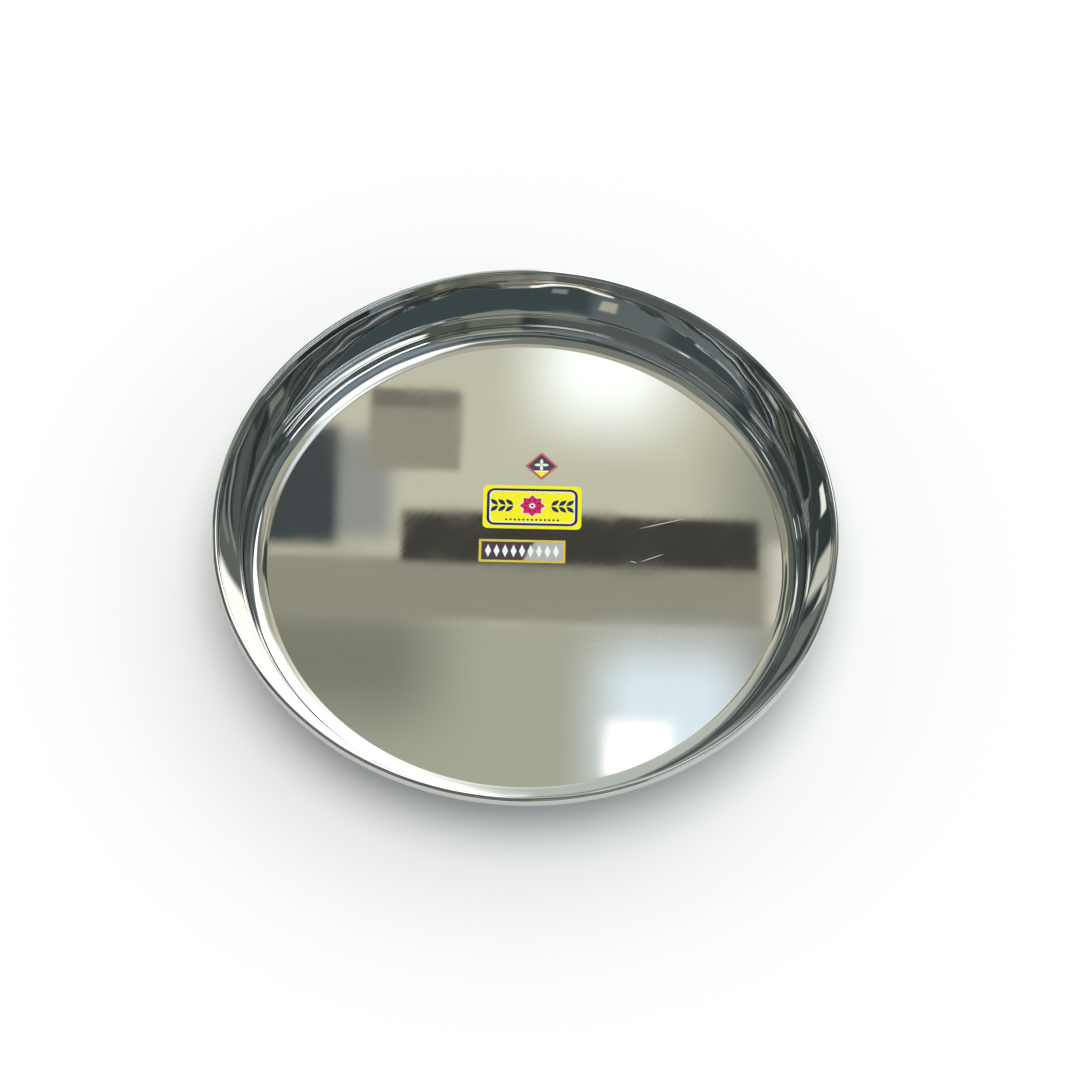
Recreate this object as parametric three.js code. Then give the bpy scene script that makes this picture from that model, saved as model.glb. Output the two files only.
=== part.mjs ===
// A round serving plate of stainless steel: one pressed sheet with a flat base, a cove, a small
// ledge, a flared wall and a rolled rim, and three adhesive labels on the base.
// Lengths are in millimetres and angles in degrees. +Z is up, and the origin is the centre of the
// underside. +Y is the side of the plate that the labels' upper edges face.

import * as THREE from 'three';

// Plate over all
const RIM_DIAMETER = 355.6;
const PLATE_HEIGHT = 40;
const SHEET_THICKNESS = 0.7;

// Cove between the base and the ledge: the inside radius, the slope that it ends on,
// and the straight riser above it
const COVE_RADIUS = 11.7;
const COVE_SLOPE = 84;
const RISER_LENGTH = 3.5;

// Ledge at the foot of the wall, with the inside radii of the bends on its two sides
const LEDGE_NOSE_RADIUS = 0.9;
const LEDGE_SLOPE = 28;
const LEDGE_LENGTH = 0.8;
const LEDGE_HEEL_RADIUS = 1.6;

// Flared wall
const WALL_SLOPE = 59.5;

// Rolled rim: the collar on its inside, its thickness over both faces, the straight drop of its
// outside face, and how far its lower edge turns back under
const COLLAR_FOOT_RADIUS = 2;
const COLLAR_SLOPE = 82;
const COLLAR_LENGTH = 4.6;
const RIM_THICKNESS = 3.4;
const ROLL_DROP = 3.4;
const ROLL_TURN = 120;

// Labels: sizes, and places of their centres from the centre of the plate
const LABEL_THICKNESS = 0.12;
const YELLOW_LABEL = { width: 57.2, depth: 29.6, corner: 3, x: 3.6, y: 35.5 };
const DIAMOND_LABEL = { side: 13.6, corner: 0.6, x: 8.6, y: 64 };
const FOIL_LABEL = { width: 50, depth: 15.4, corner: 0.5, x: -1.8, y: 5.4 };

// How finely round shapes are cut into flats
const PLATE_SEGMENTS = 72;
const COVE_STEPS = 7;
const NOSE_STEPS = 3;
const HEEL_STEPS = 2;
const COLLAR_STEPS = 1;
const ROLL_STEPS = 3;
const CORNER_STEPS = 4;

const { degToRad, lerp } = THREE.MathUtils;

// The middle line of a bent sheet in the half plane of radius and height. It is drawn from the
// axis outwards, and each point keeps the heading, in degrees above level, that the sheet has there.
class SheetLine {
  constructor(height) {
    this.points = [{ radius: 0, height, heading: 0 }];
  }

  get end() {
    return this.points.at(-1);
  }

  // Carries on straight ahead.
  straight(length) {
    const { radius, height, heading } = this.end;
    this.points.push({
      radius: radius + length * Math.cos(degToRad(heading)),
      height: height + length * Math.sin(degToRad(heading)),
      heading,
    });
    return this;
  }

  // Turns to a new heading on an arc, which curves up where the heading grows and over where it falls.
  bend(bendRadius, newHeading, steps) {
    const start = this.end;
    const arm = bendRadius * Math.sign(newHeading - start.heading);
    const centreRadius = start.radius - arm * Math.sin(degToRad(start.heading));
    const centreHeight = start.height + arm * Math.cos(degToRad(start.heading));
    for (let step = 1; step <= steps; step += 1) {
      const heading = lerp(start.heading, newHeading, step / steps);
      this.points.push({
        radius: centreRadius + arm * Math.sin(degToRad(heading)),
        height: centreHeight - arm * Math.cos(degToRad(heading)),
        heading,
      });
    }
    return this;
  }

  // One face of the sheet: the line moved square to itself, up for a positive distance.
  face(distance) {
    return this.points.map(({ radius, height, heading }) => new THREE.Vector2(
      radius - distance * Math.sin(degToRad(heading)),
      height + distance * Math.cos(degToRad(heading)),
    ));
  }
}

// The middle line of the whole plate, for a base and a wall of the given lengths.
function plateLine(baseRadius, wallLength) {
  const half = SHEET_THICKNESS / 2;
  const rollRadius = RIM_THICKNESS / 2 - half;
  return new SheetLine(half)
    .straight(baseRadius)
    .bend(COVE_RADIUS + half, COVE_SLOPE, COVE_STEPS)
    .straight(RISER_LENGTH)
    .bend(LEDGE_NOSE_RADIUS + half, LEDGE_SLOPE, NOSE_STEPS)
    .straight(LEDGE_LENGTH)
    .bend(LEDGE_HEEL_RADIUS + half, WALL_SLOPE, HEEL_STEPS)
    .straight(wallLength)
    .bend(COLLAR_FOOT_RADIUS + half, COLLAR_SLOPE, COLLAR_STEPS)
    .straight(COLLAR_LENGTH)
    .bend(rollRadius, 0, ROLL_STEPS)
    .bend(rollRadius, -90, ROLL_STEPS)
    .straight(ROLL_DROP)
    .bend(rollRadius, -90 - ROLL_TURN, ROLL_STEPS);
}

// The pressed sheet. The wall is as long as the plate's height needs, and the base as wide as
// the rim's diameter leaves.
function plateGeometry() {
  const half = SHEET_THICKNESS / 2;
  const bends = plateLine(0, 0).face(half);
  const bendsHeight = Math.max(...bends.map((point) => point.y));
  const bendsReach = Math.max(...bends.map((point) => point.x));
  const wallLength = (PLATE_HEIGHT - bendsHeight) / Math.sin(degToRad(WALL_SLOPE));
  const wallReach = wallLength * Math.cos(degToRad(WALL_SLOPE));
  const line = plateLine(RIM_DIAMETER / 2 - bendsReach - wallReach, wallLength);
  const outline = [...line.face(-half), ...line.face(half).reverse()];
  return new THREE.LatheGeometry(outline, PLATE_SEGMENTS).rotateX(Math.PI / 2);
}

// A rectangle with round corners, centred on the origin.
function roundedRectangle(width, depth, corner) {
  const right = width / 2 - corner;
  const top = depth / 2 - corner;
  const quarter = Math.PI / 2;
  return new THREE.Shape()
    .absarc(right, -top, corner, -quarter, 0)
    .absarc(right, top, corner, 0, quarter)
    .absarc(-right, top, corner, quarter, 2 * quarter)
    .absarc(-right, -top, corner, 2 * quarter, 3 * quarter);
}

function labelGeometry(shape) {
  return new THREE.ExtrudeGeometry(shape, {
    depth: LABEL_THICKNESS,
    bevelEnabled: false,
    curveSegments: CORNER_STEPS,
  });
}

// A named piece of the plate with a finish of its own.
function piece(name, geometry, color, roughness, metalness) {
  const mesh = new THREE.Mesh(geometry, new THREE.MeshStandardMaterial({ color, roughness, metalness }));
  mesh.name = name;
  return mesh;
}

// A label stuck flat on the base.
function label(name, shape, place, color, roughness, metalness) {
  const mesh = piece(name, labelGeometry(shape), color, roughness, metalness);
  mesh.position.set(place.x, place.y, SHEET_THICKNESS);
  return mesh;
}

const yellowShape = roundedRectangle(YELLOW_LABEL.width, YELLOW_LABEL.depth, YELLOW_LABEL.corner);
const diamondShape = roundedRectangle(DIAMOND_LABEL.side, DIAMOND_LABEL.side, DIAMOND_LABEL.corner);
const foilShape = roundedRectangle(FOIL_LABEL.width, FOIL_LABEL.depth, FOIL_LABEL.corner);

const diamondLabel = label('diamond_label', diamondShape, DIAMOND_LABEL, 0x4a434e, 0.4, 0);
diamondLabel.rotation.z = Math.PI / 4;

const plate = new THREE.Group();
plate.add(
  piece('plate_body', plateGeometry(), 0xc6c7c2, 0.08, 1),
  label('yellow_label', yellowShape, YELLOW_LABEL, 0xf4ea26, 0.4, 0),
  diamondLabel,
  label('foil_label', foilShape, FOIL_LABEL, 0xb9bab8, 0.3, 0.6),
);

export default plate;
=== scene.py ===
"""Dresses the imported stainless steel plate: its polished sheet, its printed labels and a plain studio."""

import logging
from dataclasses import dataclass, field
from enum import Enum
from math import atan2, ceil, copysign, cos, pi, radians, sin, sqrt, tau

import bmesh
import bpy
from bmesh.types import BMesh
from bpy.types import ID, Material, Mesh, Node, NodeOutputs, NodeSocket, NodeTree, Object, World
from mathutils import Matrix, Vector


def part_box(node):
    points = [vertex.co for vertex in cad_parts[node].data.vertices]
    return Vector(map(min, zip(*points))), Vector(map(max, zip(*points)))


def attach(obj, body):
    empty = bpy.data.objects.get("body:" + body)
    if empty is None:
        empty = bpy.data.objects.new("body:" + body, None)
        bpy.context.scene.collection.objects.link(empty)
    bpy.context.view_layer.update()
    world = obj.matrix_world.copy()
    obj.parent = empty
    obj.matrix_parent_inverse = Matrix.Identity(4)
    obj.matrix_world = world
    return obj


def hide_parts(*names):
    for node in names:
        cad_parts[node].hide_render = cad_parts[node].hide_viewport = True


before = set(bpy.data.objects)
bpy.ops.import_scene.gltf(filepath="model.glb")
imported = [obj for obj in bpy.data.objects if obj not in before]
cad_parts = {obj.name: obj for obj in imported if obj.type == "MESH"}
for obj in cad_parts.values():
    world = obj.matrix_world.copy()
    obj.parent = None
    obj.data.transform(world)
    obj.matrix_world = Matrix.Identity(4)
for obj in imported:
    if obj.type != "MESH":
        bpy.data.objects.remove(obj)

LOG = logging.getLogger("plate")
MM = 0.001
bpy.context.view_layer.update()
# Points of a mesh that lie closer than this are one point.
SEAM = 0.001 * MM
# Times a place, this keeps its two level parts and drops its height.
LEVEL = (1.0, 1.0, 0.0)
# The span that most of a noise texture's values lie in, and its middle.
NOISE_LOW, NOISE_MIDDLE, NOISE_HIGH = 0.3, 0.5, 0.7
# The Mix node's two colour inputs, by number because its other inputs have the same names.
FIRST_COLOUR, SECOND_COLOUR = 6, 7


def linear(hex_colour: str) -> tuple[float, float, float, float]:
    """Turns an sRGB hex colour into a linear one, on the standard's own curve.

    Args:
        hex_colour: six hex digits, such as "F4EA26".

    Returns:
        Red, green and blue in linear light, and an alpha of 1.
    """
    parts = [int(hex_colour[at:at + 2], 16) / 255 for at in (0, 2, 4)]
    light = [part / 12.92 if part <= 0.04045 else ((part + 0.055) / 1.055) ** 2.4 for part in parts]
    return (*light, 1.0)


def add_node(tree: NodeTree, kind: str, inputs: dict | None = None, **settings) -> Node:
    """Adds a node to a tree, with its settings, values and links.

    Args:
        tree: the node tree.
        kind: the node's type.
        inputs: for each input, by name or number, its value or what it is linked from: a socket, or a node
            for the first of its outputs that is in use.
        settings: the node's own properties.

    Returns:
        The new node.
    """
    node = tree.nodes.new(kind)
    for name, value in settings.items():
        setattr(node, name, value)
    for key, value in (inputs or {}).items():
        if isinstance(value, Node):
            value = next(output for output in value.outputs if output.enabled)
        if isinstance(value, NodeSocket):
            tree.links.new(value, node.inputs[key])
        else:
            node.inputs[key].default_value = value
    return node


def new_material(name: str) -> tuple[Material, NodeTree, NodeSocket]:
    """Starts a node material.

    Args:
        name: the material's name.

    Returns:
        The material, its node tree and the socket that gives Object coordinates.
    """
    material = bpy.data.materials.new(name)
    material.use_nodes = True
    tree = material.node_tree
    tree.nodes.clear()
    return material, tree, add_node(tree, "ShaderNodeTexCoord").outputs["Object"]


def new_tree(name: str, inputs: dict[str, str]) -> tuple[NodeTree, NodeOutputs]:
    """Starts a geometry node tree with named inputs and one output, Result.

    Args:
        name: the tree's name.
        inputs: the kind of socket for each input's name.

    Returns:
        The tree and the sockets that give its inputs.
    """
    tree = bpy.data.node_groups.new(name, "GeometryNodeTree")
    for label, kind in inputs.items():
        tree.interface.new_socket(label, in_out="INPUT", socket_type=f"NodeSocket{kind}")
    tree.interface.new_socket("Result", in_out="OUTPUT", socket_type="NodeSocketGeometry")
    return tree, add_node(tree, "NodeGroupInput").outputs


def add_object(name: str, data: ID) -> Object:
    """Puts a mesh, a camera or a light into the scene.

    Args:
        name: the object's name.
        data: what the object shows.

    Returns:
        The new object, at the origin.
    """
    thing = bpy.data.objects.new(name, data)
    bpy.context.scene.collection.objects.link(thing)
    return thing


def add_piece(name: str, mesh: Mesh, node: str) -> Object:
    """Puts a piece of the plate into the scene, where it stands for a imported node.

    Args:
        name: the piece's name.
        mesh: its mesh, already in place.
        node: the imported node.

    Returns:
        The piece's object.
    """
    piece = add_object(name, mesh)
    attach(piece, "root")
    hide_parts(node)
    return piece


def mesh_of(name: str, form: BMesh, finishes: list[Material]) -> Mesh:
    """Turns a form into a plain mesh and frees the form.

    Args:
        name: the mesh's name.
        form: the form.
        finishes: its materials, in the order that its faces number them.

    Returns:
        The mesh.
    """
    mesh = bpy.data.meshes.new(name)
    form.to_mesh(mesh)
    form.free()
    for finish in finishes:
        mesh.materials.append(finish)
    return mesh


def grown(tree: NodeTree, source: Mesh, values: dict) -> Mesh:
    """Runs a geometry node tree on a mesh.

    Args:
        tree: the tree.
        source: the mesh that goes into it, which is then removed.
        values: what each of the tree's named inputs is set to.

    Returns:
        The result as a plain mesh.
    """
    holder = add_object("holder", source)
    modifier = holder.modifiers.new("nodes", "NODES")
    modifier.node_group = tree
    for item in tree.interface.items_tree:
        if item.name in values:
            modifier[item.identifier] = values[item.name]
    evaluated = holder.evaluated_get(bpy.context.evaluated_depsgraph_get())
    mesh = bpy.data.meshes.new_from_object(evaluated)
    bpy.data.objects.remove(holder)
    bpy.data.meshes.remove(source)
    return mesh


@dataclass(frozen=True)
class Scratch:
    """A hairline scratch on the base, from one place to another in millimetres."""

    start: tuple[float, float]
    end: tuple[float, float]
    depth: float = 1.0


@dataclass(frozen=True)
class PolishedSteel:
    """Stainless steel sheet, pressed and then buffed to a mirror. Sizes are in millimetres.

    It gives the eye a clear and slightly warm reflection, with straight hairlines from the buffing wheel,
    patches of haze from handling, and a few scratches where plates slid over each other, rougher than the
    rest and with a painted highlight: a paler colour than the steel.
    """

    colour: str = "CECCC7"
    scratch_highlight_colour: str = "F1F0EB"
    clear_roughness: float = 0.012
    hazy_roughness: float = 0.045
    scratched_roughness: float = 0.42
    haze_size: float = 42.0
    haze_from: float = 0.45
    haze_to: float = 0.85
    # The wheel leaves lines a tenth of a millimetre apart. They are drawn coarser so that they show.
    line_spacing: float = 1.1
    line_length: float = 60.0
    line_depth: float = 0.0007
    line_turn: float = 52.0
    line_share: float = 0.25
    # A real hairline is a tenth of this width, too fine to show.
    scratch_width: float = 0.55
    scratch_core: float = 0.2
    scratches: tuple[Scratch, ...] = (
        Scratch((62.2, 21.4), (97.0, 31.1)),
        Scratch((64.5, -1.0), (81.8, 6.2)),
        Scratch((60.2, 0.3), (64.7, -1.1)),
        Scratch((76.0, -52.0), (79.5, -48.0), 0.6),
        Scratch((38.0, -56.5), (43.5, -54.0), 0.5),
        Scratch((-66.0, 48.0), (-52.0, 57.0), 0.4),
        Scratch((-31.0, -83.0), (-24.0, -71.0), 0.4),
    )

    def scratch_mask(self, tree: NodeTree, place: NodeSocket) -> Node:
        """Draws the scratches.

        Args:
            tree: the material's node tree.
            place: the socket that gives Object coordinates.

        Returns:
            A node that gives 1 in the middle of a deep scratch and 0 away from them.
        """
        mask = 0.0
        for scratch in self.scratches:
            start, end = Vector(scratch.start), Vector(scratch.end)
            middle, run = (start + end) / 2, end - start
            local = add_node(tree, "ShaderNodeMapping", {
                "Vector": place,
                "Location": (middle.x * MM, middle.y * MM, 0.0),
                "Rotation": (0.0, 0.0, atan2(run.y, run.x)),
                "Scale": (run.length / 2 * MM, self.scratch_width / 2 * MM, 1.0),
            }, vector_type="TEXTURE")
            flat = add_node(tree, "ShaderNodeVectorMath", {0: local, 1: LEVEL}, operation="MULTIPLY")
            away = add_node(tree, "ShaderNodeVectorMath", {0: flat}, operation="LENGTH")
            line = add_node(tree, "ShaderNodeMapRange", {
                "Value": away,
                "From Min": self.scratch_core,
                "From Max": 1.0,
                "To Min": scratch.depth,
                "To Max": 0.0,
            }, interpolation_type="SMOOTHSTEP")
            mask = add_node(tree, "ShaderNodeMath", {0: mask, 1: line}, operation="MAXIMUM")
        return mask

    def build(self) -> Material:
        """Makes the material.

        Returns:
            The finished material.
        """
        material, tree, place = new_material("buffed stainless steel")
        along = add_node(tree, "ShaderNodeMapping", {
            "Vector": place,
            "Rotation": (0.0, 0.0, radians(self.line_turn)),
            "Scale": (self.line_length * MM, self.line_spacing * MM, self.line_spacing * MM),
        }, vector_type="TEXTURE")
        lines = add_node(tree, "ShaderNodeTexNoise", {"Vector": along, "Scale": 1.0, "Detail": 2.0})
        haze_scale = 1 / (self.haze_size * MM)
        haze = add_node(tree, "ShaderNodeTexNoise",
                        {"Vector": place, "Scale": haze_scale, "Detail": 3.0, "Roughness": 0.6})
        mixed = add_node(tree, "ShaderNodeMath", {0: lines, 1: self.line_share, 2: haze},
                         operation="MULTIPLY_ADD")
        unscratched = add_node(tree, "ShaderNodeMapRange", {
            "Value": mixed,
            "From Min": self.haze_from,
            "From Max": self.haze_to,
            "To Min": self.clear_roughness,
            "To Max": self.hazy_roughness,
        })
        mask = self.scratch_mask(tree, place)
        rough = add_node(tree, "ShaderNodeMapRange",
                         {"Value": mask, "To Min": unscratched, "To Max": self.scratched_roughness})
        # Painted highlight: the scratches, which are real wear, take a paler colour than the steel.
        colour = add_node(tree, "ShaderNodeMix", {
            "Factor": mask,
            FIRST_COLOUR: linear(self.colour),
            SECOND_COLOUR: linear(self.scratch_highlight_colour),
        }, data_type="RGBA")
        bump = add_node(tree, "ShaderNodeBump", {"Height": lines, "Distance": self.line_depth * MM})
        shader = add_node(tree, "ShaderNodeBsdfPrincipled",
                          {"Base Color": colour, "Metallic": 1.0, "Roughness": rough, "Normal": bump})
        add_node(tree, "ShaderNodeOutputMaterial", {"Surface": shader})
        return material


class Ink(Enum):
    """The colours that the labels are printed in, the paper's own white among them."""

    LEMON = "F8EE1C"
    NAVY = "11155F"
    MAGENTA = "D21C66"
    WHITE = "F3F3EE"
    BLACK = "1B1A1E"
    ROSE = "C9626A"
    PLUM = "4B434F"


Inks = dict[Ink, Material]


@dataclass(frozen=True)
class PrintedPaper:
    """Clay-coated label paper, litho printed and varnished. Sizes are in millimetres.

    It gives the eye a full, even colour with a very faint cloud of uneven ink, a soft gloss, and the fine
    tooth of the paper under the varnish.
    """

    ink: Ink
    smooth_roughness: float = 0.29
    dull_roughness: float = 0.41
    shine: float = 0.2
    cloud_size: float = 7.0
    cloud_share: float = 0.012
    cloud_from: float = 0.35
    cloud_to: float = 0.75
    # Paper fibres are a fiftieth of a millimetre across. They are drawn coarser so that they show.
    tooth_size: float = 0.35
    tooth_depth: float = 0.004
    tooth_strength: float = 0.5

    def build(self) -> Material:
        """Makes the material.

        Returns:
            The finished material.
        """
        material, tree, place = new_material(f"printed paper {self.ink.name.lower()}")
        cloud = add_node(tree, "ShaderNodeTexNoise",
                         {"Vector": place, "Scale": 1 / (self.cloud_size * MM), "Detail": 4.0})
        tooth = add_node(tree, "ShaderNodeTexNoise",
                         {"Vector": place, "Scale": 1 / (self.tooth_size * MM), "Detail": 2.0})
        full = linear(self.ink.value)
        thin = [part + (1 - part) * self.cloud_share for part in full]
        share = add_node(tree, "ShaderNodeMapRange",
                         {"Value": cloud, "From Min": self.cloud_from, "From Max": self.cloud_to})
        colour = add_node(tree, "ShaderNodeMix",
                          {"Factor": share, FIRST_COLOUR: full, SECOND_COLOUR: thin}, data_type="RGBA")
        gloss = add_node(tree, "ShaderNodeMapRange", {
            "Value": cloud,
            "From Min": NOISE_LOW,
            "From Max": NOISE_HIGH,
            "To Min": self.smooth_roughness,
            "To Max": self.dull_roughness,
        })
        bump = add_node(tree, "ShaderNodeBump", {
            "Height": tooth,
            "Strength": self.tooth_strength,
            "Distance": self.tooth_depth * MM,
        })
        shader = add_node(tree, "ShaderNodeBsdfPrincipled", {
            "Base Color": colour,
            "Roughness": gloss,
            "Specular IOR Level": self.shine,
            "Normal": bump,
        })
        add_node(tree, "ShaderNodeOutputMaterial", {"Surface": shader})
        return material


@dataclass(frozen=True)
class PrintedFoil:
    """Aluminium foil label stock, printed, with a painted reflection. Sizes are in millimetres.

    It gives the eye a dull metal gleam with shallow creases, and a painted reflection: past a slanting edge
    the foil takes a second colour, standing in for the light and dark mirrored in it.
    """

    name: str
    colour: str
    reflection_colour: str
    reflection_edge: float
    slant: float = 62.0
    edge_blur: float = 2.4
    metallic: float = 0.75
    smooth_roughness: float = 0.24
    creased_roughness: float = 0.38
    crease_size: float = 5.0
    crease_depth: float = 0.02

    def build(self) -> Material:
        """Makes the material.

        Returns:
            The finished material.
        """
        material, tree, place = new_material(self.name)
        turned = add_node(tree, "ShaderNodeMapping",
                          {"Vector": place, "Rotation": (0.0, 0.0, radians(self.slant - 90))},
                          vector_type="TEXTURE")
        split = add_node(tree, "ShaderNodeSeparateXYZ", {0: turned})
        creases = add_node(tree, "ShaderNodeTexNoise",
                           {"Vector": place, "Scale": 1 / (self.crease_size * MM), "Detail": 3.0})
        # Painted reflection: the side past the slanting, creased edge takes the reflection colour.
        ragged = add_node(tree, "ShaderNodeMath",
                          {0: creases, 1: self.edge_blur * MM, 2: split.outputs["X"]},
                          operation="MULTIPLY_ADD")
        share = add_node(tree, "ShaderNodeMapRange", {
            "Value": ragged,
            "From Min": (self.reflection_edge - self.edge_blur / 2) * MM,
            "From Max": (self.reflection_edge + self.edge_blur / 2) * MM,
            "To Min": 1.0,
            "To Max": 0.0,
        }, interpolation_type="SMOOTHSTEP")
        colour = add_node(tree, "ShaderNodeMix", {
            "Factor": share,
            FIRST_COLOUR: linear(self.colour),
            SECOND_COLOUR: linear(self.reflection_colour),
        }, data_type="RGBA")
        rough = add_node(tree, "ShaderNodeMapRange", {
            "Value": creases,
            "From Min": NOISE_LOW,
            "From Max": NOISE_HIGH,
            "To Min": self.smooth_roughness,
            "To Max": self.creased_roughness,
        })
        bump = add_node(tree, "ShaderNodeBump", {"Height": creases, "Distance": self.crease_depth * MM})
        shader = add_node(tree, "ShaderNodeBsdfPrincipled", {
            "Base Color": colour,
            "Metallic": self.metallic,
            "Roughness": rough,
            "Normal": bump,
        })
        add_node(tree, "ShaderNodeOutputMaterial", {"Surface": shader})
        return material


@dataclass(frozen=True)
class Station:
    """A point on the middle line of the sheet, in millimetres, and the way that the sheet runs there."""

    radius: float
    height: float
    heading: float


@dataclass
class SheetLine:
    """The middle line of a bent sheet, as radius and height, drawn from the axis outwards."""

    stations: list[Station]
    longest_step: float = 9.0
    holding_step: float = 0.3
    shortest_held: float = 1.2
    fewest_flats: int = 2

    def straight(self, length: float) -> "SheetLine":
        """Carries on straight ahead, with close rows at both ends that keep a long flat flat.

        Args:
            length: how far to go, in millimetres.

        Returns:
            The line itself.
        """
        start = self.stations[-1]
        steps = max(1, ceil(length / self.longest_step))
        marks = {length * step / steps for step in range(1, steps + 1)}
        if length > self.shortest_held:
            marks |= {self.holding_step, length - self.holding_step}
        run, rise = cos(radians(start.heading)), sin(radians(start.heading))
        for mark in sorted(marks):
            radius, height = start.radius + mark * run, start.height + mark * rise
            self.stations.append(Station(radius, height, start.heading))
        return self

    def bend(self, bend_radius: float, heading: float, degrees_per_step: float = 4.0) -> "SheetLine":
        """Turns to a new heading on an arc, up where the heading grows and over where it falls.

        Args:
            bend_radius: the arc's radius, in millimetres.
            heading: the new heading, in degrees above level.
            degrees_per_step: how far each flat turns.

        Returns:
            The line itself.
        """
        start = self.stations[-1]
        arm = copysign(bend_radius, heading - start.heading)
        centre_radius = start.radius - arm * sin(radians(start.heading))
        centre_height = start.height + arm * cos(radians(start.heading))
        steps = max(self.fewest_flats, ceil(abs(heading - start.heading) / degrees_per_step))
        for step in range(1, steps + 1):
            now = start.heading + (heading - start.heading) * step / steps
            self.stations.append(Station(
                centre_radius + arm * sin(radians(now)),
                centre_height - arm * cos(radians(now)),
                now,
            ))
        return self

    def face(self, distance: float) -> list[tuple[float, float]]:
        """One face of the sheet.

        Args:
            distance: how far above the middle line the face is, in millimetres.

        Returns:
            The face's points as radius and height.
        """
        return [
            (at.radius - distance * sin(radians(at.heading)),
             at.height + distance * cos(radians(at.heading)))
            for at in self.stations
        ]


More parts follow.
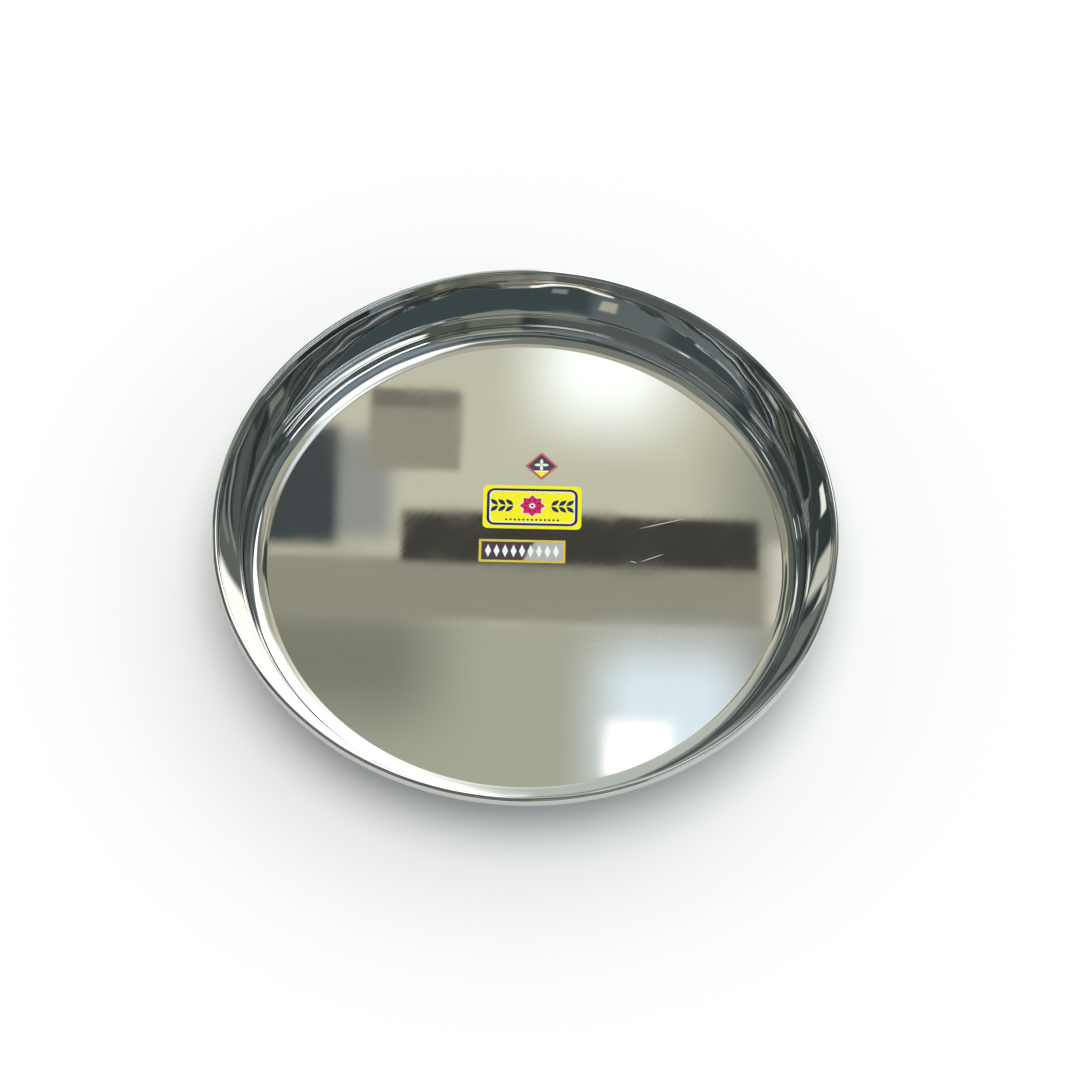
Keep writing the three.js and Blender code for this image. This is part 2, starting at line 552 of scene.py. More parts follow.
@dataclass
class PlateBody:
    """The pressed sheet, from the middle of its base to its rolled rim. Sizes are in millimetres."""

    name: str = "plate_sheet"
    node: str = "plate_body"
    slot: str = "polished_steel"
    sheet: float = 0.7
    crease_radius: float = 3.0
    crease_slope: float = 6.0
    lead_radius: float = 60.0
    lead_slope: float = 11.0
    lead_step: float = 0.5
    cove_radius: float = 9.3
    cove_slope: float = 84.0
    riser_length: float = 5.05
    ledge_nose_radius: float = 0.9
    ledge_slope: float = 28.0
    ledge_length: float = 0.8
    ledge_heel_radius: float = 1.6
    wall_slope: float = 59.5
    wall_bow: float = 4.0
    wall_step: float = 0.6
    collar_foot_radius: float = 2.0
    collar_slope: float = 82.0
    collar_length: float = 4.6
    rim_thickness: float = 3.4
    roll_drop: float = 3.4
    roll_turn: float = 120.0
    roll_step: float = 8.0
    segments: int = 288
    wave_height: float = 0.02
    wave_length: float = 60.0
    dent_height: float = 0.5
    dent_length: float = 30.0
    dents_from: float = 148.0
    dents_to: float = 160.0
    sharp_angle: float = 50.0

    def middle_line(self, base_radius: float, wall_length: float) -> SheetLine:
        """Draws the sheet's middle line.

        Args:
            base_radius: the flat base's radius.
            wall_length: the flared wall's length up its slope.

        Returns:
            The line, from the axis to the rolled edge.
        """
        half = self.sheet / 2
        wall_radius = wall_length / 2 / radians(self.wall_bow)
        roll_radius = self.rim_thickness / 2 - half
        level, down = 0.0, -90.0
        line = SheetLine([Station(0.0, half, level)])
        line.straight(base_radius).bend(self.crease_radius, self.crease_slope)
        line.bend(self.lead_radius, self.lead_slope, self.lead_step)
        line.bend(self.cove_radius + half, self.cove_slope).straight(self.riser_length)
        line.bend(self.ledge_nose_radius + half, self.ledge_slope).straight(self.ledge_length)
        line.bend(self.ledge_heel_radius + half, self.wall_slope - self.wall_bow)
        line.bend(wall_radius, self.wall_slope + self.wall_bow, self.wall_step)
        line.bend(self.collar_foot_radius + half, self.collar_slope).straight(self.collar_length)
        line.bend(roll_radius, level, self.roll_step).bend(roll_radius, down, self.roll_step)
        return line.straight(self.roll_drop).bend(roll_radius, down - self.roll_turn, self.roll_step)

    def outline(self) -> list[Vector]:
        """Works out the closed section of the sheet, in metres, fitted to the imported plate's box.

        Returns:
            The section's points, along the underside outwards and back along the upper face.
        """
        low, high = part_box(self.node)
        rim_radius = (high.x - low.x) / 2 / MM
        plate_height = (high.z - low.z) / MM
        half = self.sheet / 2
        bends = self.middle_line(0.0, 0.0).face(half)
        slope = radians(self.wall_slope)
        wall_length = (plate_height - max(height for _, height in bends)) / sin(slope)
        base_radius = rim_radius - max(radius for radius, _ in bends) - wall_length * cos(slope)
        line = self.middle_line(base_radius, wall_length)
        section = line.face(-half) + line.face(half)[::-1]
        return [Vector((radius * MM, 0.0, height * MM)) for radius, height in section]

    @staticmethod
    def revolve_tree() -> NodeTree:
        """Builds the node tree that turns a section into a sheet all round the Z axis.

        Returns:
            The tree, with inputs for the segments, the waves left by the press, the dents of the wall and
            the radii between which they set in, and the finish.
        """
        tree, given = new_tree("revolved sheet", {
            "Section": "Geometry",
            "Segments": "Int",
            "Wave Height": "Float",
            "Wave Length": "Float",
            "Dent Height": "Float",
            "Dent Length": "Float",
            "Dents From": "Float",
            "Dents To": "Float",
            "Finish": "Material",
        })
        size = add_node(tree, "GeometryNodeAttributeDomainSize", {"Geometry": given["Section"]})
        rows = size.outputs["Point Count"]
        columns = add_node(tree, "ShaderNodeMath", {0: given["Segments"], 1: 1.0}, operation="ADD")
        # The grid is 1 m square about the origin: X becomes the turn, and Y the place along the section.
        half_grid = 0.5
        grid = add_node(tree, "GeometryNodeMeshGrid", {"Vertices X": columns, "Vertices Y": rows})
        place = add_node(tree, "GeometryNodeInputPosition")
        split = add_node(tree, "ShaderNodeSeparateXYZ", {0: place})
        last = add_node(tree, "ShaderNodeMath", {0: rows, 1: 1.0}, operation="SUBTRACT")
        along = add_node(tree, "ShaderNodeMath", {0: split.outputs["Y"], 1: half_grid}, operation="ADD")
        row = add_node(tree, "ShaderNodeMath", {0: along, 1: last}, operation="MULTIPLY")
        index = add_node(tree, "ShaderNodeMath", {0: row}, operation="ROUND")
        point = add_node(tree, "GeometryNodeSampleIndex",
                         {"Geometry": given["Section"], "Value": place, "Index": index},
                         data_type="FLOAT_VECTOR", domain="POINT")
        turn = add_node(tree, "ShaderNodeMath", {0: split.outputs["X"], 1: tau}, operation="MULTIPLY")
        spun = add_node(tree, "ShaderNodeVectorRotate", {"Vector": point, "Angle": turn},
                        rotation_type="Z_AXIS")
        placed = add_node(tree, "GeometryNodeSetPosition", {"Geometry": grid, "Position": spun})
        shape = add_node(tree, "GeometryNodeMergeByDistance", {"Geometry": placed, "Distance": SEAM})
        flat = add_node(tree, "ShaderNodeVectorMath", {0: place, 1: LEVEL}, operation="MULTIPLY")
        away = add_node(tree, "ShaderNodeVectorMath", {0: flat}, operation="LENGTH")
        dented = add_node(tree, "ShaderNodeMapRange", {
            "Value": away,
            "From Min": given["Dents From"],
            "From Max": given["Dents To"],
            "To Max": given["Dent Height"],
        }, interpolation_type="SMOOTHSTEP")
        swells = ((given["Wave Height"], given["Wave Length"]), (dented, given["Dent Length"]))
        for height, length in swells:
            scale = add_node(tree, "ShaderNodeMath", {0: 1.0, 1: length}, operation="DIVIDE")
            noise = add_node(tree, "ShaderNodeTexNoise", {"Vector": place, "Scale": scale, "Detail": 1.0})
            centred = add_node(tree, "ShaderNodeVectorMath",
                               {0: noise.outputs["Color"], 1: [NOISE_MIDDLE] * 3}, operation="SUBTRACT")
            wave = add_node(tree, "ShaderNodeVectorMath", {0: centred, "Scale": height}, operation="SCALE")
            shape = add_node(tree, "GeometryNodeSetPosition", {"Geometry": shape, "Offset": wave})
        smooth = add_node(tree, "GeometryNodeSetShadeSmooth", {"Geometry": shape})
        real = add_node(tree, "GeometryNodeRealizeInstances", {"Geometry": smooth})
        dressed = add_node(tree, "GeometryNodeSetMaterial",
                           {"Geometry": real, "Material": given["Finish"]})
        add_node(tree, "NodeGroupOutput", {"Result": dressed})
        return tree

    def build(self, finish: Material) -> Object:
        """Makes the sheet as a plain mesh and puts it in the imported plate's place.

        Args:
            finish: the sheet's material.

        Returns:
            The sheet's object.
        """
        points = self.outline()
        section = bpy.data.meshes.new("plate_section")
        section.from_pydata(points, [(at, at + 1) for at in range(len(points) - 1)], [])
        mesh = grown(self.revolve_tree(), section, {
            "Segments": self.segments,
            "Wave Height": self.wave_height * MM,
            "Wave Length": self.wave_length * MM,
            "Dent Height": self.dent_height * MM,
            "Dent Length": self.dent_length * MM,
            "Dents From": self.dents_from * MM,
            "Dents To": self.dents_to * MM,
            "Finish": finish,
        })
        mesh.name = self.name
        mesh.materials.clear()
        mesh.materials.append(finish)
        mesh.polygons.foreach_set("material_index", [0] * len(mesh.polygons))
        mesh.set_sharp_from_angle(angle=radians(self.sharp_angle))
        return add_piece(self.name, mesh, self.node)


Loop = list[Vector]


def round_rectangle(width: float, depth: float, corner: float, turn: float = 0.0, steps: int = 8) -> Loop:
    """Draws a rectangle with round corners about the origin.

    Args:
        width: its size along X, in millimetres.
        depth: its size along Y.
        corner: the corners' radius.
        turn: how far it is turned, in degrees.
        steps: the flats in each corner.

    Returns:
        Its points, anticlockwise.
    """
    points = []
    for quarter in range(4):
        across = (1 if quarter in (0, 3) else -1) * (width / 2 - corner)
        up = (1 if quarter in (0, 1) else -1) * (depth / 2 - corner)
        for step in range(steps + 1):
            angle = radians(90 * (quarter + step / steps))
            points.append(Vector((across + corner * cos(angle), up + corner * sin(angle))))
    return [point @ Matrix.Rotation(radians(-turn), 2) for point in points]


def leaf(length: float, width: float, start: float = 0.0, turn: float = 0.0, steps: int = 7) -> Loop:
    """Draws a pointed leaf that runs out from the origin.

    Args:
        length: how long it is, in millimetres.
        width: how wide it is at its middle.
        start: how far from the origin it starts.
        turn: the way that it points, in degrees from +X.
        steps: the flats along each side.

    Returns:
        Its points, anticlockwise.
    """
    marks = [step / steps for step in range(steps + 1)]
    side = [Vector((start + length * mark, -width / 2 * sin(pi * mark))) for mark in marks]
    points = side + [Vector((point.x, -point.y)) for point in side[-2:0:-1]]
    return [point @ Matrix.Rotation(radians(-turn), 2) for point in points]


def disc(radius: float, steps: int = 20) -> Loop:
    """Draws a circle of a radius in millimetres about the origin, anticlockwise."""
    angles = [tau * step / steps for step in range(steps)]
    return [Vector((radius * cos(angle), radius * sin(angle))) for angle in angles]


@dataclass
class Sticker:
    """An adhesive label: a cut blank and the inks printed on it, in millimetres from its middle."""

    name: str
    node: str
    slot: str
    corner: float = 0.0
    edge: float = 0.03
    ink_height: float = 0.02
    finishes: list[Material] = field(default_factory=list)
    form: BMesh = field(default_factory=bmesh.new)

    @property
    def thickness(self) -> float:
        """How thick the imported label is."""
        low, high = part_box(self.node)
        return (high.z - low.z) / MM

    @property
    def spread(self) -> Vector:
        """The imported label's width and depth."""
        low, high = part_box(self.node)
        return Vector(((high.x - low.x) / MM, (high.y - low.y) / MM))

    def inset(self, distance: float, corner: float) -> Loop:
        """The label's outline, moved in by a distance and with another corner."""
        return round_rectangle(self.spread.x - 2 * distance, self.spread.y - 2 * distance, corner)

    def heights(self, layer: int) -> tuple[float, float]:
        """The foot and the top of an ink in a layer, counted from 1 on the bare blank."""
        return self.thickness - self.ink_height, self.thickness + self.ink_height * layer

    def index_of(self, finish: Material) -> int:
        """Numbers a finish.

        Args:
            finish: the finish, which joins the label's own if it is new.

        Returns:
            Its number among the label's own.
        """
        if finish not in self.finishes:
            self.finishes.append(finish)
        return self.finishes.index(finish)

    def skin(self, loops: list[tuple[Loop, float]], finish: Material, hollow: bool = False) -> None:
        """Joins loops of points at their heights into a closed shape.

        Args:
            loops: loops of equally many points, each with its height.
            finish: the shape's material.
            hollow: whether the last loop joins the first, as in a frame, and the ends have no caps.
        """
        rows = []
        for loop, height in loops:
            rows.append([self.form.verts.new((*(point * MM), height * MM)) for point in loop])
        faces = []
        for low, high in zip(rows, rows[1:] + rows[:1] if hollow else rows[1:]):
            for at in range(len(low)):
                faces.append(self.form.faces.new((low[at - 1], low[at], high[at], high[at - 1])))
        if not hollow:
            faces.append(self.form.faces.new(rows[0][::-1]))
            faces.append(self.form.faces.new(rows[-1]))
        for face in faces:
            face.material_index = self.index_of(finish)
        bmesh.ops.recalc_face_normals(self.form, faces=faces)

    def cut_blank(self, finish: Material) -> None:
        """Cuts the blank, with its upper edge very slightly rounded.

        Args:
            finish: the blank's material.
        """
        top = self.thickness
        outline = self.inset(0.0, self.corner)
        inner = self.inset(self.edge, self.corner - self.edge)
        self.skin([(outline, 0.0), (outline, top - self.edge), (inner, top)], finish)

    def print_shape(self, outline: Loop, finish: Material, layer: int = 1) -> None:
        """Prints a filled shape.

        Args:
            outline: the shape's outline.
            finish: the ink.
            layer: the ink's layer.
        """
        foot, top = self.heights(layer)
        self.skin([(outline, foot), (outline, top)], finish)

    def print_frame(self, distance: float, line: float, corner: float, finish: Material) -> None:
        """Prints a line that runs all round.

        Args:
            distance: how far in from the label's edge the line is.
            line: how wide it is.
            corner: the radius of its outer corners.
            finish: the ink.
        """
        foot, top = self.heights(1)
        outer, inner = self.inset(distance, corner), self.inset(distance + line, corner - line)
        self.skin([(outer, foot), (outer, top), (inner, top), (inner, foot)], finish, hollow=True)

    def print_repeats(self, motif: list[Loop], count: int, finish: Material, layer: int = 1, *,
                      step: float = 0.0, turn: float = 0.0,
                      place: tuple[float, float] = (0.0, 0.0)) -> None:
        """Prints a motif over and over, in a row along X or round a point.

        Args:
            motif: the outlines of one copy.
            count: how many copies there are.
            finish: the ink.
            layer: the ink's layer.
            step: how far each copy is from the one before.
            turn: how far each copy is turned from the one before, in degrees.
            place: the middle of the row, or the point.
        """
        stamp = Sticker("stamp", self.node, self.slot)
        for outline in motif:
            stamp.print_shape(outline, finish, layer)
        across, up = place
        printed = grown(repeat_tree(), mesh_of(stamp.name, stamp.form, []), {
            "Count": count,
            "First": ((across - step * (count - 1) / 2) * MM, up * MM, 0.0),
            "Step": (step * MM, 0.0, 0.0),
            "Turn": radians(turn),
            "Ink": finish,
        })
        before = len(self.form.faces)
        self.form.from_mesh(printed)
        bpy.data.meshes.remove(printed)
        self.form.faces.ensure_lookup_table()
        for face in self.form.faces[before:]:
            face.material_index = self.index_of(finish)

    def stick(self) -> Object:
        """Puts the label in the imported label's place.

        Returns:
            The label's object.
        """
        low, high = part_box(self.node)
        middle = (low + high) / 2
        bmesh.ops.translate(self.form, verts=self.form.verts, vec=(middle.x, middle.y, low.z))
        return add_piece(self.name, mesh_of(self.name, self.form, self.finishes), self.node)


def repeat_tree() -> NodeTree:
    """Builds the node tree that prints one motif over and over.

    Returns:
        The tree, with inputs for the number of copies, the first one's place, the step and the turn to the
        next, and the ink.
    """
    tree, given = new_tree("repeated print", {
        "Motif": "Geometry",
        "Count": "Int",
        "First": "Vector",
        "Step": "Vector",
        "Turn": "Float",
        "Ink": "Material",
    })
    row = add_node(tree, "GeometryNodeMeshLine",
                   {"Count": given["Count"], "Start Location": given["First"], "Offset": given["Step"]},
                   mode="OFFSET")
    number = add_node(tree, "GeometryNodeInputIndex")
    turned = add_node(tree, "ShaderNodeMath", {0: number, 1: given["Turn"]}, operation="MULTIPLY")
    spin = add_node(tree, "ShaderNodeCombineXYZ", {"Z": turned})
    copies = add_node(tree, "GeometryNodeInstanceOnPoints",
                      {"Points": row, "Instance": given["Motif"], "Rotation": spin})
    real = add_node(tree, "GeometryNodeRealizeInstances", {"Geometry": copies})
    inked = add_node(tree, "GeometryNodeSetMaterial", {"Geometry": real, "Material": given["Ink"]})
    add_node(tree, "NodeGroupOutput", {"Result": inked})
    return tree


@dataclass
class YellowLabel(Sticker):
    """The large label: lemon paper with a double frame round a rosette, two sprigs and a row of dots."""

    name: str = "yellow_paper_label"
    node: str = "yellow_label"
    slot: str = "yellow_label_print"
    corner: float = 3.0
    frame_inset: float = 2.2
    frame_line: float = 1.6
    inner_line: float = 0.6
    frame_corner: float = 4.6
    petals: int = 8
    petal_start: float = 1.4
    petal_length: float = 6.0
    petal_width: float = 4.0
    white_petal_start: float = 0.9
    white_petal_length: float = 7.1
    white_petal_width: float = 4.9
    rosette_middle: float = 0.9
    rosette_eye: float = 1.5
    rosette_dot: float = 0.75
    sprig_pairs: int = 3
    sprig_step: float = 4.4
    sprig_middle: float = 15.2
    sprig_start: float = 0.3
    sprig_leaf: float = 6.0
    sprig_width: float = 2.7
    sprig_tilt: float = 42.0
    dots: int = 13
    dot_step: float = 2.5
    dot_radius: float = 0.7
    dot_flats: int = 10
    dot_row: float = -8.7

    def build(self, inks: Inks) -> Object:
        """Makes the label.

        Args:
            inks: the material of each ink.

        Returns:
            The label's object.
        """
        self.cut_blank(inks[Ink.LEMON])
        self.print_frame(self.frame_inset, self.frame_line, self.frame_corner, inks[Ink.NAVY])
        self.print_frame(self.frame_inset + self.frame_line, self.inner_line,
                         self.frame_corner - self.frame_line, inks[Ink.WHITE])
        middle = (0.0, self.rosette_middle)
        turn = 360 / self.petals
        white_petal = leaf(self.white_petal_length, self.white_petal_width, self.white_petal_start)
        petal = leaf(self.petal_length, self.petal_width, self.petal_start)
        self.print_repeats([white_petal], self.petals, inks[Ink.WHITE], turn=turn, place=middle)
        self.print_repeats([petal], self.petals, inks[Ink.MAGENTA], 2, turn=turn, place=middle)
        for radius, ink, layer in ((self.rosette_eye, Ink.WHITE, 3), (self.rosette_dot, Ink.NAVY, 4)):
            self.print_shape([point + Vector(middle) for point in disc(radius)], inks[ink], layer)
        for side, angle in ((1, 0.0), (-1, 180.0)):
            ways = (angle + self.sprig_tilt, angle - self.sprig_tilt)
            pair = [leaf(self.sprig_leaf, self.sprig_width, self.sprig_start, way) for way in ways]
            self.print_repeats(pair, self.sprig_pairs, inks[Ink.NAVY], step=side * self.sprig_step,
                               place=(side * self.sprig_middle, self.rosette_middle))
        dot = disc(self.dot_radius, self.dot_flats)
        self.print_repeats([dot], self.dots, inks[Ink.BLACK], step=self.dot_step,
                           place=(0.0, self.dot_row))
        return self.stick()


@dataclass
class DiamondLabel(Sticker):
    """The small label, a square on its corner: a rose edge, a dark field with a star, and a lemon tip."""

    name: str = "diamond_paper_label"
    node: str = "diamond_label"
    slot: str = "diamond_label_print"
    corner: float = 0.6
    border: float = 1.2
    field_corner: float = 0.2
    tip_gap: float = 0.25
    tip_height: float = -3.9
    tip_line: float = 0.75
    star_points: int = 4
    star_reach: float = 4.2
    star_width: float = 1.9
    star_middle: float = 0.8

    @property
    def side(self) -> float:
        """The square's side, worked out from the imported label's width across two round corners."""
        return sqrt(2) * (self.spread.x / 2 - self.corner) + 2 * self.corner

    def inset(self, distance: float, corner: float) -> Loop:
        """The square's outline, moved in by a distance and with another corner."""
        return round_rectangle(self.side - 2 * distance, self.side - 2 * distance, corner, turn=45.0)

    def build(self, inks: Inks) -> Object:
        """Makes the label.

        Args:
            inks: the material of each ink.

        Returns:
            The label's object.
        """
        self.cut_blank(inks[Ink.ROSE])
        self.print_shape(self.inset(self.border, self.field_corner), inks[Ink.PLUM])
        reach = (self.side / 2 - self.border) * sqrt(2) - self.tip_gap
        half, foot, top = reach + self.tip_height, self.tip_height, self.tip_height + self.tip_line
        over = half + self.tip_line
        tip = [Vector(at) for at in ((0.0, -reach), (half, foot), (-half, foot))]
        line = [Vector(at) for at in ((-half, foot), (half, foot), (over, top), (-over, top))]
        self.print_shape(tip, inks[Ink.LEMON], 2)
        self.print_shape(line, inks[Ink.WHITE], 2)
        ray = leaf(self.star_reach, self.star_width)
        self.print_repeats([ray], self.star_points, inks[Ink.WHITE], 2, turn=360 / self.star_points,
                           place=(0.0, self.star_middle))
        return self.stick()


@dataclass
class FoilLabel(Sticker):
    """The foil strip: a gold edge round a silver field, both with a painted reflection, and a row of white
    lozenges.
    """

    name: str = "foil_strip_label"
    node: str = "foil_label"
    slot: str = "foil_label_print"
    corner: float = 0.5
    border: float = 1.5
    field_corner: float = 0.25
    lozenges: int = 9
    lozenge_step: float = 4.9
    lozenge_length: float = 8.6
    lozenge_width: float = 3.5

    def build(self, inks: Inks, edge_foil: Material, field_foil: Material) -> Object:
        """Makes the label.

        Args:
            inks: the material of each ink.
            edge_foil: the material of the edge.
            field_foil: the material of the field inside it.

        Returns:
            The label's object.
        """
        self.cut_blank(edge_foil)
        self.print_shape(self.inset(self.border, self.field_corner), field_foil)
        across, up = self.lozenge_width / 2, self.lozenge_length / 2
        lozenge = [Vector(at) for at in ((0.0, -up), (across, 0.0), (0.0, up), (-across, 0.0))]
        self.print_repeats([lozenge], self.lozenges, inks[Ink.WHITE], 2, step=self.lozenge_step)
        return self.stick()


@dataclass
class PhotoCamera:
    """The camera of the photograph: where it stood and how it framed the plate.

    Lengths are in metres and angles in degrees, unless the name gives another unit.
    """

    rim_height: float = 38.3 * MM
    rim_radius: float = 177.8 * MM
    distance_in_radii: float = 12.0
    elevation: float = 57.96
    roll: float = 1.183
    focal_px: float = 3761.8
    frame_px: float = 1080.0
    rim_centre_px: tuple[float, float] = (525.7, 524.6)
    sensor_mm: float = 36.0
    nearest: float = 10.0 * MM

    def build(self) -> Object:
        """Makes the camera and gives it to the scene.

        Returns:
            The camera's object.
        """
        lens = bpy.data.cameras.new("photo_camera")
        lens.sensor_width = self.sensor_mm
        lens.lens = self.focal_px / self.frame_px * self.sensor_mm
        lens.clip_start = self.nearest
        camera = add_object("photo_camera", lens)
        rise = radians(self.elevation)
        target = Vector((0.0, 0.0, self.rim_height))
        away = Vector((0.0, -cos(rise), sin(rise)))
        facing = away.to_track_quat("Z", "Y").to_matrix()
        right_px = self.frame_px / 2 - self.rim_centre_px[0]
        down_px = self.frame_px / 2 - self.rim_centre_px[1]
        roll = Matrix.Rotation(radians(self.roll), 3, "Z")
        yaw = Matrix.Rotation(-atan2(right_px, self.focal_px), 3, "Y")
        pitch = Matrix.Rotation(-atan2(down_px, self.focal_px), 3, "X")
        turned = (facing @ roll @ yaw @ pitch).to_4x4()
        turned.translation = target + away * self.distance_in_radii * self.rim_radius
        camera.matrix_world = turned
        bpy.context.scene.camera = camera
        return camera


@dataclass(frozen=True)
class Panel:
    """A flat panel of the light tent with soft edges, in degrees as seen from the plate.

    It hangs square to the way to its wall's middle: the azimuth is counted from straight behind the plate
    towards +X, and the elevation from level. It may lie across from that middle, or up from it.
    """

    azimuth: float
    elevation: float
    width: float
    height: float
    edge: float
    colour: str
    brightness: float = 1.0
    across: float = 0.0
    up: float = 0.0


@dataclass
class LightTent:
    """A dome of cloth round the plate, lit from outside, with brighter and darker panels.

    Its radius is in metres. The middle of its back wall is an azimuth and an elevation, as a panel's is.
    """

    radius: float = 2.6
    columns: int = 64
    rows: int = 32
    cloth: str = "4B595D"
    back: tuple[float, float] = (0.8, 58.5)

    def panels(self) -> list[Panel]:
        """Lists the panels, each laid over those before it.

        Returns:
            The panels of the whole tent.
        """
        back = self.back
        return [
            # Grey cloth on the camera's side, with lighter strips along its top and two pale cards below
            Panel(-140.0, 34.0, 62.0, 34.0, 8.0, "7E888A"),
            Panel(-148.0, 9.0, 24.0, 17.0, 7.0, "737F82"),
            Panel(168.0, 36.0, 16.0, 38.0, 4.0, "9AA295"),
            Panel(150.0, 36.0, 14.0, 38.0, 4.0, "7C867E"),
            Panel(168.0, 44.0, 30.0, 7.0, 2.5, "D2D8D2"),
            Panel(-168.0, 44.0, 22.0, 6.0, 2.5, "A5ADAD"),
            Panel(178.0, 70.0, 22.0, 5.0, 1.5, "A4AEAC"),
            Panel(-155.0, 7.5, 5.0, 4.5, 1.2, "CACCC0"),
            Panel(-171.0, 4.5, 4.0, 2.0, 0.8, "98A2A2"),
            # Overhead cloth
            Panel(0.0, 80.0, 50.0, 17.0, 4.0, "8E938C"),
            # Grey cloth on the right, with light strips across it
            Panel(72.0, 40.0, 24.0, 32.0, 5.0, "7A8684"),
            Panel(48.0, 20.0, 14.0, 20.0, 5.0, "8A9494"),
            Panel(66.0, 24.0, 30.0, 2.0, 1.0, "B0BABA"),
            Panel(66.0, 19.6, 30.0, 1.6, 0.8, "C0CACA"),
            Panel(66.0, 14.6, 30.0, 4.6, 1.5, "747F80"),
            Panel(74.0, 32.5, 20.0, 2.6, 1.0, "98A4A6"),
            # Cool cloth to the right of the camera, with a dark strip, a bright one and a white card on it
            Panel(90.0, 74.0, 30.0, 12.0, 4.0, "7C8A92"),
            Panel(114.0, 46.0, 34.0, 40.0, 6.0, "96A8B6"),
            Panel(104.0, 43.5, 30.0, 3.6, 1.0, "3C484C"),
            Panel(116.0, 26.0, 50.0, 9.0, 2.4, "EAF4FF", 3.1),
            Panel(110.0, 17.0, 16.0, 9.0, 3.0, "E0ECF4"),
            Panel(78.0, 64.0, 24.0, 10.0, 4.0, "909CA4"),
            # Tubes high on both sides of the camera, one of them on grey cloth
            Panel(160.0, 62.0, 30.0, 1.6, 0.8, "D0D8D8"),
            Panel(-135.0, 57.0, 40.0, 1.6, 0.8, "C4CCCC"),
            Panel(125.0, 67.0, 24.0, 2.0, 0.8, "DCE4E8"),
            Panel(-108.0, 62.0, 30.0, 8.0, 3.0, "76828A"),
            Panel(-108.0, 62.0, 30.0, 1.4, 0.8, "E8F2F8", 1.2),
            # Grey cloth on the left, with white cards before it
            Panel(-66.0, 38.0, 26.0, 18.0, 5.0, "7A807C"),
            Panel(-40.0, 10.0, 12.0, 14.0, 3.0, "7A8480"),
            Panel(-28.0, 30.0, 16.0, 12.0, 3.0, "A0AAA8"),
            Panel(-46.0, 26.0, 7.6, 12.0, 2.5, "EEF2EC", 1.5),
            Panel(-38.5, 32.0, 3.6, 5.0, 1.2, "EEF2EC", 1.5),
            Panel(-63.0, 20.5, 6.0, 4.0, 1.2, "F4FAFA", 2.2),
            Panel(-79.0, 38.0, 5.0, 5.0, 1.5, "F0F4F4", 1.4),
            Panel(-74.0, 23.0, 3.0, 3.0, 1.0, "D0D8D8"),
            Panel(-52.0, 17.0, 12.0, 1.6, 0.8, "98A2A2"),
            Panel(-92.0, 28.0, 8.0, 10.0, 3.0, "E0E4E4", 1.1),
            # Warm cloth behind the plate, shaded on its right, with grey cloth above it and on the right
            Panel(0.0, 57.0, 40.0, 14.0, 4.0, "EDEED8"),
            Panel(*back, 4.4, 5.0, 3.0, "B4B8AA", across=7.2, up=-1.6),
            Panel(0.0, 69.0, 40.0, 12.0, 2.0, "8E938C"),
            Panel(27.0, 53.0, 12.0, 9.0, 2.0, "8C8C88"),
            # A higher fold of it with grey cloth on its left, shaded at both sides, and a grey band and a
            # dark bar under it
            Panel(*back, 44.0, 7.4, 0.4, "CED0C0", up=5.5),
            Panel(*back, 12.0, 14.0, 1.0, "74776E", across=-15.5, up=0.5),
            Panel(*back, 6.4, 3.6, 3.2, "9A9D90", across=-6.0, up=2.9),
            Panel(*back, 3.0, 2.6, 2.2, "B0B2AA", across=6.9, up=2.9),
            Panel(*back, 18.0, 1.7, 0.3, "B0B1A2", up=0.9),
            Panel(*back, 10.0, 1.45, 0.25, "4E4D49", across=1.1, up=-0.57),
            # Cards before it: a cream one on the right, and grey and dark ones on the left
            Panel(*back, 1.0, 2.4, 0.6, "F0ECE0", 1.15, across=6.9, up=0.5),
            Panel(*back, 2.2, 3.0, 0.8, "B2B8B4", across=-5.3, up=-1.9),
            Panel(*back, 2.6, 3.4, 0.5, "525A5E", across=-7.0, up=-1.9),
            Panel(*back, 2.6, 2.2, 0.25, "B4B1A2", across=-3.6, up=-3.5),
            Panel(*back, 2.4, 0.5, 0.2, "8C8C80", across=-3.6, up=-4.4),
            # White lamp high on the right
            Panel(23.0, 70.0, 10.0, 11.0, 2.5, "F4FAFF", 1.9),
            # White panel low on the right, duller on its left, and the glow of it and the lamp
            Panel(20.0, 28.0, 40.0, 48.0, 4.0, "F8FBFF", 2.6),
            Panel(-14.0, 32.0, 8.0, 40.0, 4.0, "98A09A"),
            Panel(-5.5, 29.0, 11.0, 46.0, 4.0, "DCE6E4"),
            Panel(*back, 3.6, 3.8, 3.0, "F2FAFA", 1.9, across=1.7, up=-5.8),
            Panel(*back, 4.0, 4.4, 2.4, "DCECF8", 1.6, across=3.75, up=4.6),
            Panel(*back, 1.9, 1.5, 0.5, "FFFFFF", 1.9, across=2.9, up=5.2),
        ]

    def cloth_material(self) -> Material:
        """Makes the glowing cloth: one even tone, and each panel laid over it by its direction.

        Returns:
            The finished material.
        """
        material, tree, place = new_material("lit tent cloth")
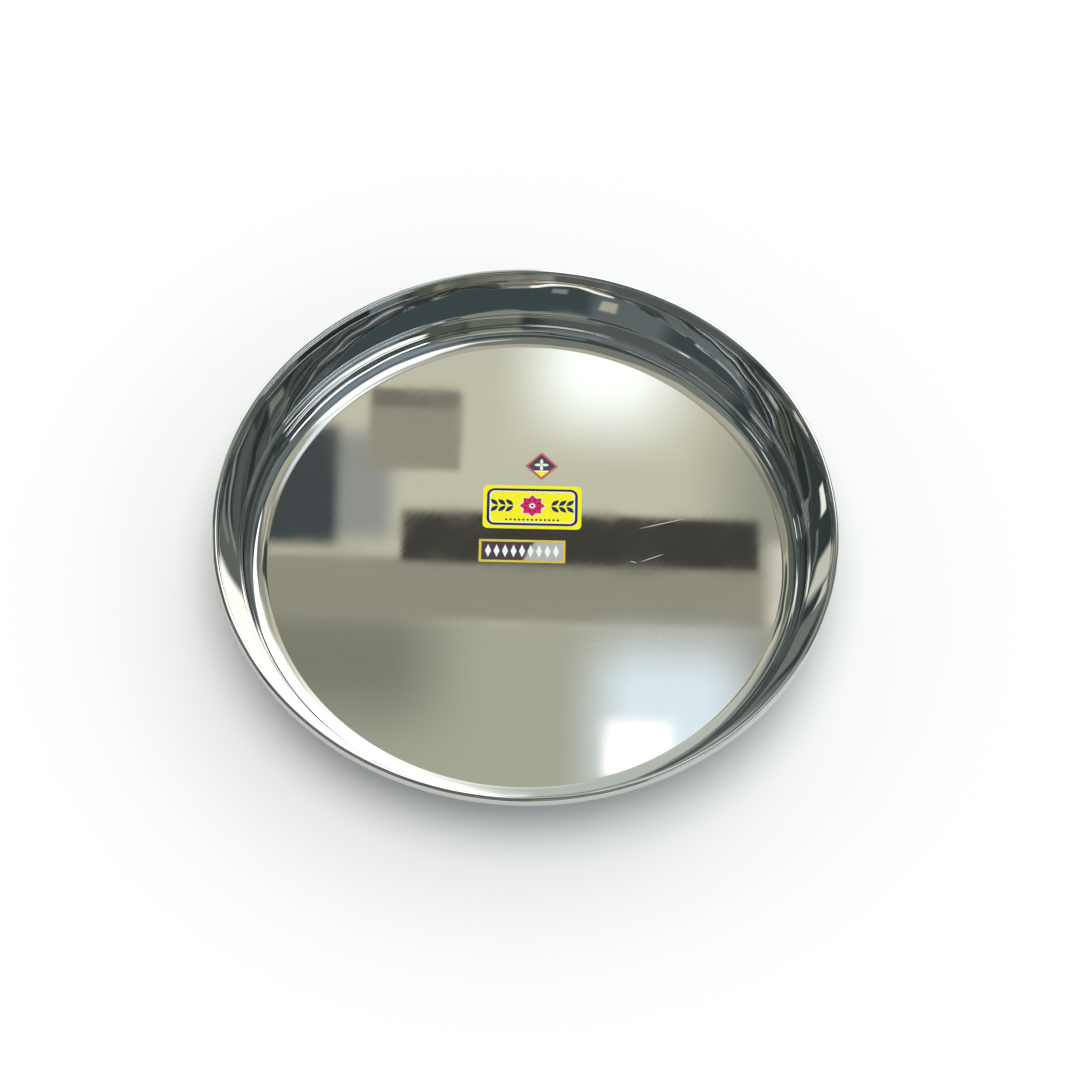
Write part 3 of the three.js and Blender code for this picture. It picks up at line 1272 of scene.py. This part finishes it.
        # The dome is all round, so rays find it without being aimed at it.
        material.cycles.emission_sampling = "NONE"
        colour = linear(self.cloth)
        for panel in self.panels():
            facing = (radians(panel.elevation), 0.0, radians(-panel.azimuth))
            local = add_node(tree, "ShaderNodeMapping", {"Vector": place, "Rotation": facing},
                             vector_type="TEXTURE")
            split = add_node(tree, "ShaderNodeSeparateXYZ", {0: local}).outputs
            masks = []
            for axis, middle, size in (("X", panel.across, panel.width), ("Z", panel.up, panel.height)):
                turn = add_node(tree, "ShaderNodeMath", {0: split[axis], 1: split["Y"]},
                                operation="ARCTAN2")
                past = add_node(tree, "ShaderNodeMath", {0: turn, 1: radians(middle)},
                                operation="SUBTRACT")
                distance = add_node(tree, "ShaderNodeMath", {0: past}, operation="ABSOLUTE")
                masks.append(add_node(tree, "ShaderNodeMapRange", {
                    "Value": distance,
                    "From Min": radians((size - panel.edge) / 2),
                    "From Max": radians((size + panel.edge) / 2),
                    "To Min": 1.0,
                    "To Max": 0.0,
                }, interpolation_type="SMOOTHSTEP"))
            mask = add_node(tree, "ShaderNodeMath", {0: masks[0], 1: masks[1]}, operation="MULTIPLY")
            lit = [part * panel.brightness for part in linear(panel.colour)]
            colour = add_node(tree, "ShaderNodeMix",
                              {"Factor": mask, FIRST_COLOUR: colour, SECOND_COLOUR: lit}, data_type="RGBA")
        glow = add_node(tree, "ShaderNodeEmission", {"Color": colour, "Strength": 1.0})
        add_node(tree, "ShaderNodeOutputMaterial", {"Surface": glow})
        return material

    def build(self) -> Object:
        """Makes the dome, which lights the plate and shows in it but not in the picture's background.

        Returns:
            The dome's object.
        """
        form = bmesh.new()
        bmesh.ops.create_uvsphere(form, u_segments=self.columns, v_segments=self.rows, radius=self.radius)
        dome = add_object("light_tent", mesh_of("light_tent", form, [self.cloth_material()]))
        dome.visible_camera = False
        return dome


@dataclass
class OverheadLamp:
    """A wide soft lamp over the plate, which lights paper and floor. The steel shows the tent alone.

    Sizes are in metres, and the power is in watts.
    """

    height: float = 2.2
    size: float = 2.4
    power: float = 33.0

    def build(self) -> Object:
        """Makes the lamp.

        Returns:
            The lamp's object.
        """
        light = bpy.data.lights.new("overhead_lamp", "AREA")
        light.shape = "DISK"
        light.size = self.size
        light.energy = self.power
        lamp = add_object("overhead_lamp", light)
        lamp.location.z = self.height
        lamp.visible_glossy = False
        lamp.visible_camera = False
        return lamp


@dataclass
class Floor:
    """The pale floor under the plate, which fades into the white background. Sizes are in metres."""

    radius: float = 2.6
    segments: int = 96
    drop: float = 0.2 * MM
    colour: str = "F3F3F0"
    fade_start: float = 0.12
    fade_end: float = 0.32

    def paper_material(self) -> Material:
        """Makes matt white paper, which turns to plain white away from the plate.

        Returns:
            The finished material.
        """
        material, tree, place = new_material("matt white paper")
        paper = add_node(tree, "ShaderNodeBsdfDiffuse", {"Color": linear(self.colour)})
        white = add_node(tree, "ShaderNodeEmission", {"Color": linear("FFFFFF"), "Strength": 1.0})
        away = add_node(tree, "ShaderNodeVectorMath", {0: place}, operation="LENGTH")
        fade = add_node(tree, "ShaderNodeMapRange",
                        {"Value": away, "From Min": self.fade_start, "From Max": self.fade_end},
                        interpolation_type="SMOOTHSTEP")
        rays = add_node(tree, "ShaderNodeLightPath").outputs
        seen = rays["Is Camera Ray"]
        for ray in ("Is Glossy Ray", "Is Transmission Ray"):
            seen = add_node(tree, "ShaderNodeMath", {0: seen, 1: rays[ray]}, operation="MAXIMUM")
        share = add_node(tree, "ShaderNodeMath", {0: fade, 1: seen}, operation="MULTIPLY")
        blend = add_node(tree, "ShaderNodeMixShader", {0: share, 1: paper, 2: white})
        add_node(tree, "ShaderNodeOutputMaterial", {"Surface": blend})
        return material

    def build(self) -> Object:
        """Makes the floor.

        Returns:
            The floor's object.
        """
        form = bmesh.new()
        bmesh.ops.create_circle(form, cap_ends=True, radius=self.radius, segments=self.segments)
        bmesh.ops.translate(form, verts=form.verts, vec=(0.0, 0.0, -self.drop))
        floor = add_object("floor", mesh_of("floor", form, [self.paper_material()]))
        return floor


def white_background() -> World:
    """Makes the plain white that the camera sees past the floor.

    Returns:
        The scene's world.
    """
    world = bpy.data.worlds.new("white background")
    world.use_nodes = True
    world.node_tree.nodes.clear()
    white = add_node(world.node_tree, "ShaderNodeBackground", {"Color": linear("FFFFFF"), "Strength": 1.0})
    add_node(world.node_tree, "ShaderNodeOutputWorld", {"Surface": white})
    bpy.context.scene.world = world
    return world


def main() -> None:
    """Builds the plate, its labels and the studio."""
    logging.basicConfig(level=logging.INFO, format="%(name)s: %(message)s")
    bpy.context.scene.view_settings.view_transform = "Standard"
    PhotoCamera().build()
    white_background()
    Floor().build()
    LightTent().build()
    OverheadLamp().build()
    inks = {ink: PrintedPaper(ink).build() for ink in Ink}
    # Foils with a painted reflection: past a slanting edge the gold turns lighter and the silver dark.
    gold = PrintedFoil("gold foil with painted reflection", colour="E9C948", reflection_colour="F0D75C", reflection_edge=0.0).build()
    silver = PrintedFoil("silver foil with painted reflection", colour="BFC0BD", reflection_colour="56474D", reflection_edge=0.5).build()
    pieces = [
        PlateBody().build(PolishedSteel().build()),
        YellowLabel().build(inks),
        DiamondLabel().build(inks),
        FoilLabel().build(inks, gold, silver),
    ]
    for piece in pieces:
        LOG.info("built %s with %d faces", piece.name, len(piece.data.polygons))


if __name__ == "__main__":
    main()
